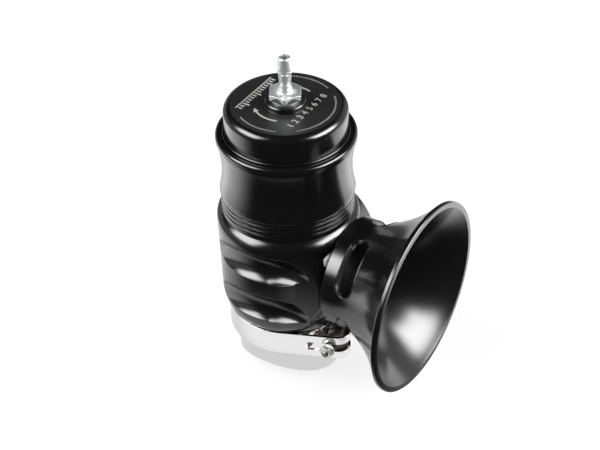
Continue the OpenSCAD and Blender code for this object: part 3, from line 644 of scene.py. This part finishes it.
def slab(points):
    # a flat outline in mm, anticlockwise, made a thin slab on the cap's top
    low, high = capMarks["topZ"] - capMarks["sunk"], capMarks["topZ"] + capMarks["thick"]
    count = len(points)
    verts = [(x * mm, y * mm, z * mm) for z in (low, high) for x, y in points]
    faces = [tuple(reversed(range(count))), tuple(range(count, 2 * count))]
    for i in range(count):
        j = (i + 1) % count
        faces.append((i, j, count + j, count + i))
    return verts, faces


def bar(x0, y0, x1, y1):
    return slab([(x0, y0), (x1, y0), (x1, y1), (x0, y1)])


def turnMark():
    look = capMarks
    radius, start, stop = look["arrowRadius"], look["arrowFrom"], look["arrowTo"]
    half, headHalf = look["arrowWide"] / 2, look["headWide"] / 2
    steps = look["arrowSteps"]
    angles = [start + (stop - start) * i / steps for i in range(steps + 1)]
    inside = [polar(radius - half, a) for a in angles]
    outside = [polar(radius + half, a) for a in angles]
    tip = polar(radius, stop - math.degrees(look["headLong"] / radius))
    head = [polar(radius - headHalf, stop), tip, polar(radius + headHalf, stop)]
    return slab(inside + head + outside[::-1])


def joinInto(name, parts):
    # one mesh on the cap from several, in ink
    verts, faces = [], []
    for someVerts, someFaces in parts:
        base = len(verts)
        verts += someVerts
        faces += [tuple(i + base for i in face) for face in someFaces]
    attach(meshPiece(name, verts, faces, mats["ink"]), "adjuster")


def scaleMarks():
    # an arrow and its mirror image, and a rule with ticks
    look = capMarks
    verts, faces = turnMark()
    parts = [(verts, faces), ([(x, -y, z) for x, y, z in verts], [face[::-1] for face in faces])]
    half = look["ruleLong"] / 2
    parts.append(bar(look["ruleX"], -half, look["ruleX"] + look["ruleWide"], half))
    tickX = look["ruleX"] + look["ruleWide"] + look["combGap"]
    for i in range(look["combTicks"]):
        y = -half + look["ruleLong"] * (i + 0.5) / look["combTicks"]
        isLong = i % look["combEvery"] == look["combEvery"] // 2
        long = look["combLong"] * (1.0 if isLong else look["combShort"])
        parts.append(bar(tickX, y - look["combWide"] / 2, tickX + long, y + look["combWide"] / 2))
    joinInto("ScaleMarks", parts)


def tickRing():
    # short ticks along three arcs of the cap, each turned to the middle
    look = capMarks
    sizes = {
        "Tick Long": look["tickLong"] * mm, "Tick Wide": look["tickWide"] * mm, "Tick Thick": 2 * look["thick"] * mm,
    }
    group, sockets, given, out = nodeGroup("Tick Ring", sizes)
    nodes, link = group.nodes, group.links.new
    size = nodes.new("ShaderNodeCombineXYZ")
    for axis, name in zip("XYZ", sizes):
        link(given.outputs[name], size.inputs[axis])
    tick = nodes.new("GeometryNodeMeshCube")
    link(size.outputs["Vector"], tick.inputs["Size"])
    spot = nodes.new("GeometryNodeInputPosition")
    split = nodes.new("ShaderNodeSeparateXYZ")
    link(spot.outputs["Position"], split.inputs["Vector"])
    angle = nodes.new("ShaderNodeMath")
    angle.operation = "ARCTAN2"
    link(split.outputs["Y"], angle.inputs[0])
    link(split.outputs["X"], angle.inputs[1])
    turn = nodes.new("ShaderNodeCombineXYZ")
    link(angle.outputs["Value"], turn.inputs["Z"])
    put = nodes.new("GeometryNodeInstanceOnPoints")
    link(given.outputs["Geometry"], put.inputs["Points"])
    link(tick.outputs["Mesh"], put.inputs["Instance"])
    link(turn.outputs["Vector"], put.inputs["Rotation"])
    closeGroup(group, put.outputs["Instances"], out, mats["ink"], False)

    points = []
    for first, last in look["sectors"]:
        count = int((last - first) / look["tickStep"])
        for i in range(count + 1):
            x, y = polar(look["tickRadius"], first + (last - first) * i / count)
            points.append((x * mm, y * mm, look["topZ"] * mm))
    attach(grown(meshPiece("TickRing", points, [], mats["ink"]), group, sockets, sizes), "adjuster")


def digitRow():
    look = capMarks
    parts = []
    span = look["digitStep"] * (len(look["digits"]) - 1)
    for i, digit in enumerate(look["digits"]):
        curve = bpy.data.curves.new("digit", "FONT")
        curve.body = digit
        curve.size = look["digitSize"] * mm
        curve.align_x, curve.align_y = "CENTER", "CENTER"
        curve.extrude = look["thick"] * mm
        curve.resolution_u = 4
        text = linked("digit", curve)
        bpy.context.view_layer.update()
        mesh = bpy.data.meshes.new_from_object(text)
        place = Matrix.Translation((look["digitX"] * mm, (-span / 2 + look["digitStep"] * i) * mm, look["topZ"] * mm))
        mesh.transform(place @ Matrix.Rotation(math.radians(90), 4, "Z"))
        parts.append(([tuple(v.co) for v in mesh.vertices], [tuple(p.vertices) for p in mesh.polygons]))
        bpy.data.objects.remove(text)
        bpy.data.curves.remove(curve)
        bpy.data.meshes.remove(mesh)
    joinInto("DigitRow", parts)


tickRing()
scaleMarks()
digitRow()
print("cap marks done")


# floor, lamps, room and camera
def ramp(value, low, high):
    t = min(max((value - low) / (high - low), 0), 1)
    return t * t * (3 - 2 * t)


def glowMaterial(name, strength):
    # gives the light that is kept in the mesh's points
    mat, tree = newMaterial(name)
    out = add(tree, "ShaderNodeOutputMaterial")
    glow = add(tree, "ShaderNodeEmission", Strength=strength)
    light = add(tree, "ShaderNodeVertexColor", layer_name="shade")
    tree.links.new(light.outputs["Color"], glow.inputs["Color"])
    tree.links.new(glow.outputs["Emission"], out.inputs["Surface"])
    return mat


def glossCard(name, verts, faces, shade, mat):
    # a card that only reflections show
    obj = meshPiece(name, verts, faces, mat)
    layer = obj.data.color_attributes.new("shade", "FLOAT_COLOR", "POINT")
    for i, value in enumerate(shade):
        layer.data[i].color = (value, value, value, 1)
    obj.visible_camera = False
    obj.visible_diffuse = False
    obj.visible_transmission = False
    obj.visible_shadow = False
    obj.visible_volume_scatter = False
    return obj


def toward(angle, up):
    # a lamp's place: angle to the right of the camera, up from the floor
    x, y = polar(studio["away"] * math.cos(math.radians(up)), studio["heading"] + angle)
    return Vector((x, y, studio["away"] * math.sin(math.radians(up)) + studio["aimZ"])) * mm


def softbox(name, angle, up, size, power, strength):
    # the lamp lights, and a card that fades toward its edges is what the gloss shows of it
    lamp = bpy.data.lights.new(name, "AREA")
    lamp.shape = "RECTANGLE"
    lamp.size, lamp.size_y = size[0] * mm, size[1] * mm
    lamp.energy = power
    obj = linked(name, lamp)
    obj.location = toward(angle, up)
    aim = (Vector((0, 0, studio["aimZ"] * mm)) - obj.location).to_track_quat("-Z", "Y")
    obj.rotation_euler = aim.to_euler()
    obj.visible_glossy = False
    place = Matrix.Translation(obj.location) @ aim.to_matrix().to_4x4()
    steps = studio["cardSteps"]
    acrossFade, upFade = studio["cardFade"]
    verts, shade, faces = [], [], []
    for i in range(steps + 1):
        for j in range(steps + 1):
            u, v = 2 * i / steps - 1, 2 * j / steps - 1
            verts.append(tuple(place @ Vector((u * size[0] / 2 * mm, v * size[1] / 2 * mm, 0))))
            shade.append((1 - ramp(abs(u), *acrossFade)) * (1 - ramp(abs(v), *upFade)))
            if i < steps and j < steps:
                k = i * (steps + 1) + j
                faces.append((k, k + steps + 1, k + steps + 2, k + 1))
    return glossCard(name + " Card", verts, faces, shade, glowMaterial(name + " Glow", strength))


def bySight(tree, unseen, seen):
    # one shader for what the camera, gloss and glass see, another for the light that is passed on
    path = add(tree, "ShaderNodeLightPath")
    sight = path.outputs["Is Camera Ray"]
    for ray in ("Is Glossy Ray", "Is Transmission Ray"):
        plus = add(tree, "ShaderNodeMath", operation="ADD", use_clamp=True)
        tree.links.new(sight, plus.inputs[0])
        tree.links.new(path.outputs[ray], plus.inputs[1])
        sight = plus.outputs["Value"]
    mix = add(tree, "ShaderNodeMixShader")
    tree.links.new(sight, mix.inputs["Fac"])
    tree.links.new(unseen, mix.inputs[1])
    tree.links.new(seen, mix.inputs[2])
    return mix.outputs["Shader"]


def floorMaterial():
    # pale, and lifted towards white where it is seen, so that the shadow stays
    mat, tree = newMaterial("Floor")
    link = tree.links.new
    out = add(tree, "ShaderNodeOutputMaterial")
    matte = add(tree, "ShaderNodeBsdfDiffuse", Color=(*[studio["floorMatte"]] * 3, 1))
    lift = add(tree, "ShaderNodeEmission", Strength=studio["floorLift"])
    both = add(tree, "ShaderNodeAddShader")
    link(matte.outputs["BSDF"], both.inputs[0])
    link(lift.outputs["Emission"], both.inputs[1])
    unseen = add(tree, "ShaderNodeBsdfDiffuse", Color=(*[studio["floorUnseen"]] * 3, 1))
    link(bySight(tree, unseen.outputs["BSDF"], both.outputs["Shader"]), out.inputs["Surface"])
    return mat


def tableLight(r, a):
    # bright table at the sides, less behind, dark in front of the camera, and an even dimmer patch round the foot, a
    # painted shadow of the object
    side = 1 - ramp(a, *room["leftIn"]) if a < 0 else ramp(a, *room["rightIn"])
    edge = room["edge"] + room["rightEdge"] * ramp(a, *room["rightEdgeIn"]) * (1 - ramp(a, *room["rightEdgeOut"]))
    level = room["table"] + (room["back"] - room["table"]) * ramp(abs(a), *room["backIn"])
    bright = room["near"] + (level - room["near"]) * ramp(r, *room["nearFade"])
    bright *= 1 - room["edgeDrop"] * ramp(r / edge, *room["edgeFade"])
    front = 1 - ramp(r, *room["frontFade"])
    away = room["dark"] + side * bright + (1 - side) * front
    # the patch round the foot is a painted contact shadow, which the steel pipe and strap show
    foot = 1 - ramp(r, *room["footShadowFade"])
    return foot * room["foot"] + (1 - foot) * away


def wallLight(up, a):
    # pale low walls to the left and the right, dark above and behind the camera
    if a < 0:
        share = (1 - ramp(a, *room["leftWall"])) * (1 - ramp(up, *room["leftWallTop"]))
    else:
        share = ramp(a, *room["rightWall"]) * (1 - ramp(a, *room["rightWallEnd"]))
        share *= 1 - ramp(up, *room["rightWallTop"])
    return room["dark"] + room["wall"] * share


def ringMesh(rows, place, light):
    # rings of points round the object, each with the light it gives
    angles = list(range(-180, 180, room["angleStep"]))
    verts, shade, faces = [], [], []
    for row in rows:
        r, z = place(row)
        for a in angles:
            x, y = polar(r, room["heading"] + a)
            verts.append((x * mm, y * mm, z * mm))
            shade.append(light(row, a))
    n = len(angles)
    for i in range(len(rows) - 1):
        for j in range(n):
            k = (j + 1) % n
            faces.append((i * n + j, (i + 1) * n + j, (i + 1) * n + k, i * n + k))
    return verts, faces, shade


def table(mat):
    height = studio["floorZ"] + room["cardRaise"]
    verts, faces, shade = ringMesh(room["radii"], lambda r: (r, height), tableLight)
    return glossCard("Table Card", verts, faces, shade, mat)


def walls(mat):
    verts, faces, shade = ringMesh(room["lifts"], lambda up: polar(room["wallRadius"], up), wallLight)
    n = len(verts) // len(room["lifts"])
    faces.append(tuple(range(len(verts) - n, len(verts))))
    return glossCard("Wall Card", verts, faces, shade, mat)


half = studio["floorHalf"] * mm
level = studio["floorZ"] * mm
floor = meshPiece("Floor", [(-half, -half, level), (half, -half, level), (half, half, level), (-half, half, level)],
                  [(0, 1, 2, 3)], floorMaterial())
roomMat = glowMaterial("Room", 1.0)
table(roomMat)
walls(roomMat)
leftCard = softbox("Left Softbox", studio["leftAt"], studio["leftUp"], studio["leftSize"],
                   studio["leftPower"], studio["leftGlow"])
rightCard = softbox("Right Softbox", studio["rightAt"], studio["rightUp"], studio["rightSize"],
                    studio["rightPower"], studio["rightGlow"])

world = bpy.data.worlds.new("Studio")
bpy.context.scene.world = world
world.use_nodes = True
tree = world.node_tree
tree.nodes.clear()
out = add(tree, "ShaderNodeOutputWorld")
seenSky = add(tree, "ShaderNodeBackground", Strength=studio["sky"])
fillSky = add(tree, "ShaderNodeBackground", Strength=studio["fill"])
sky = bySight(tree, fillSky.outputs["Background"], seenSky.outputs["Background"])
tree.links.new(sky, out.inputs["Surface"])

camera = bpy.data.cameras.new("Camera")
camera.lens, camera.sensor_width = view["lens"], view["sensor"]
camera.clip_start, camera.clip_end = view["clip"]
cameraObj = linked("Camera", camera)
right, up = Vector(view["right"]), Vector(view["up"])
turn = Matrix((right, up, right.cross(up))).transposed().to_4x4()
cameraObj.matrix_world = Matrix.Translation(Vector(view["place"]) * mm) @ turn
bpy.context.scene.camera = cameraObj
bpy.context.scene.view_settings.view_transform = "Standard"
print("stage set")
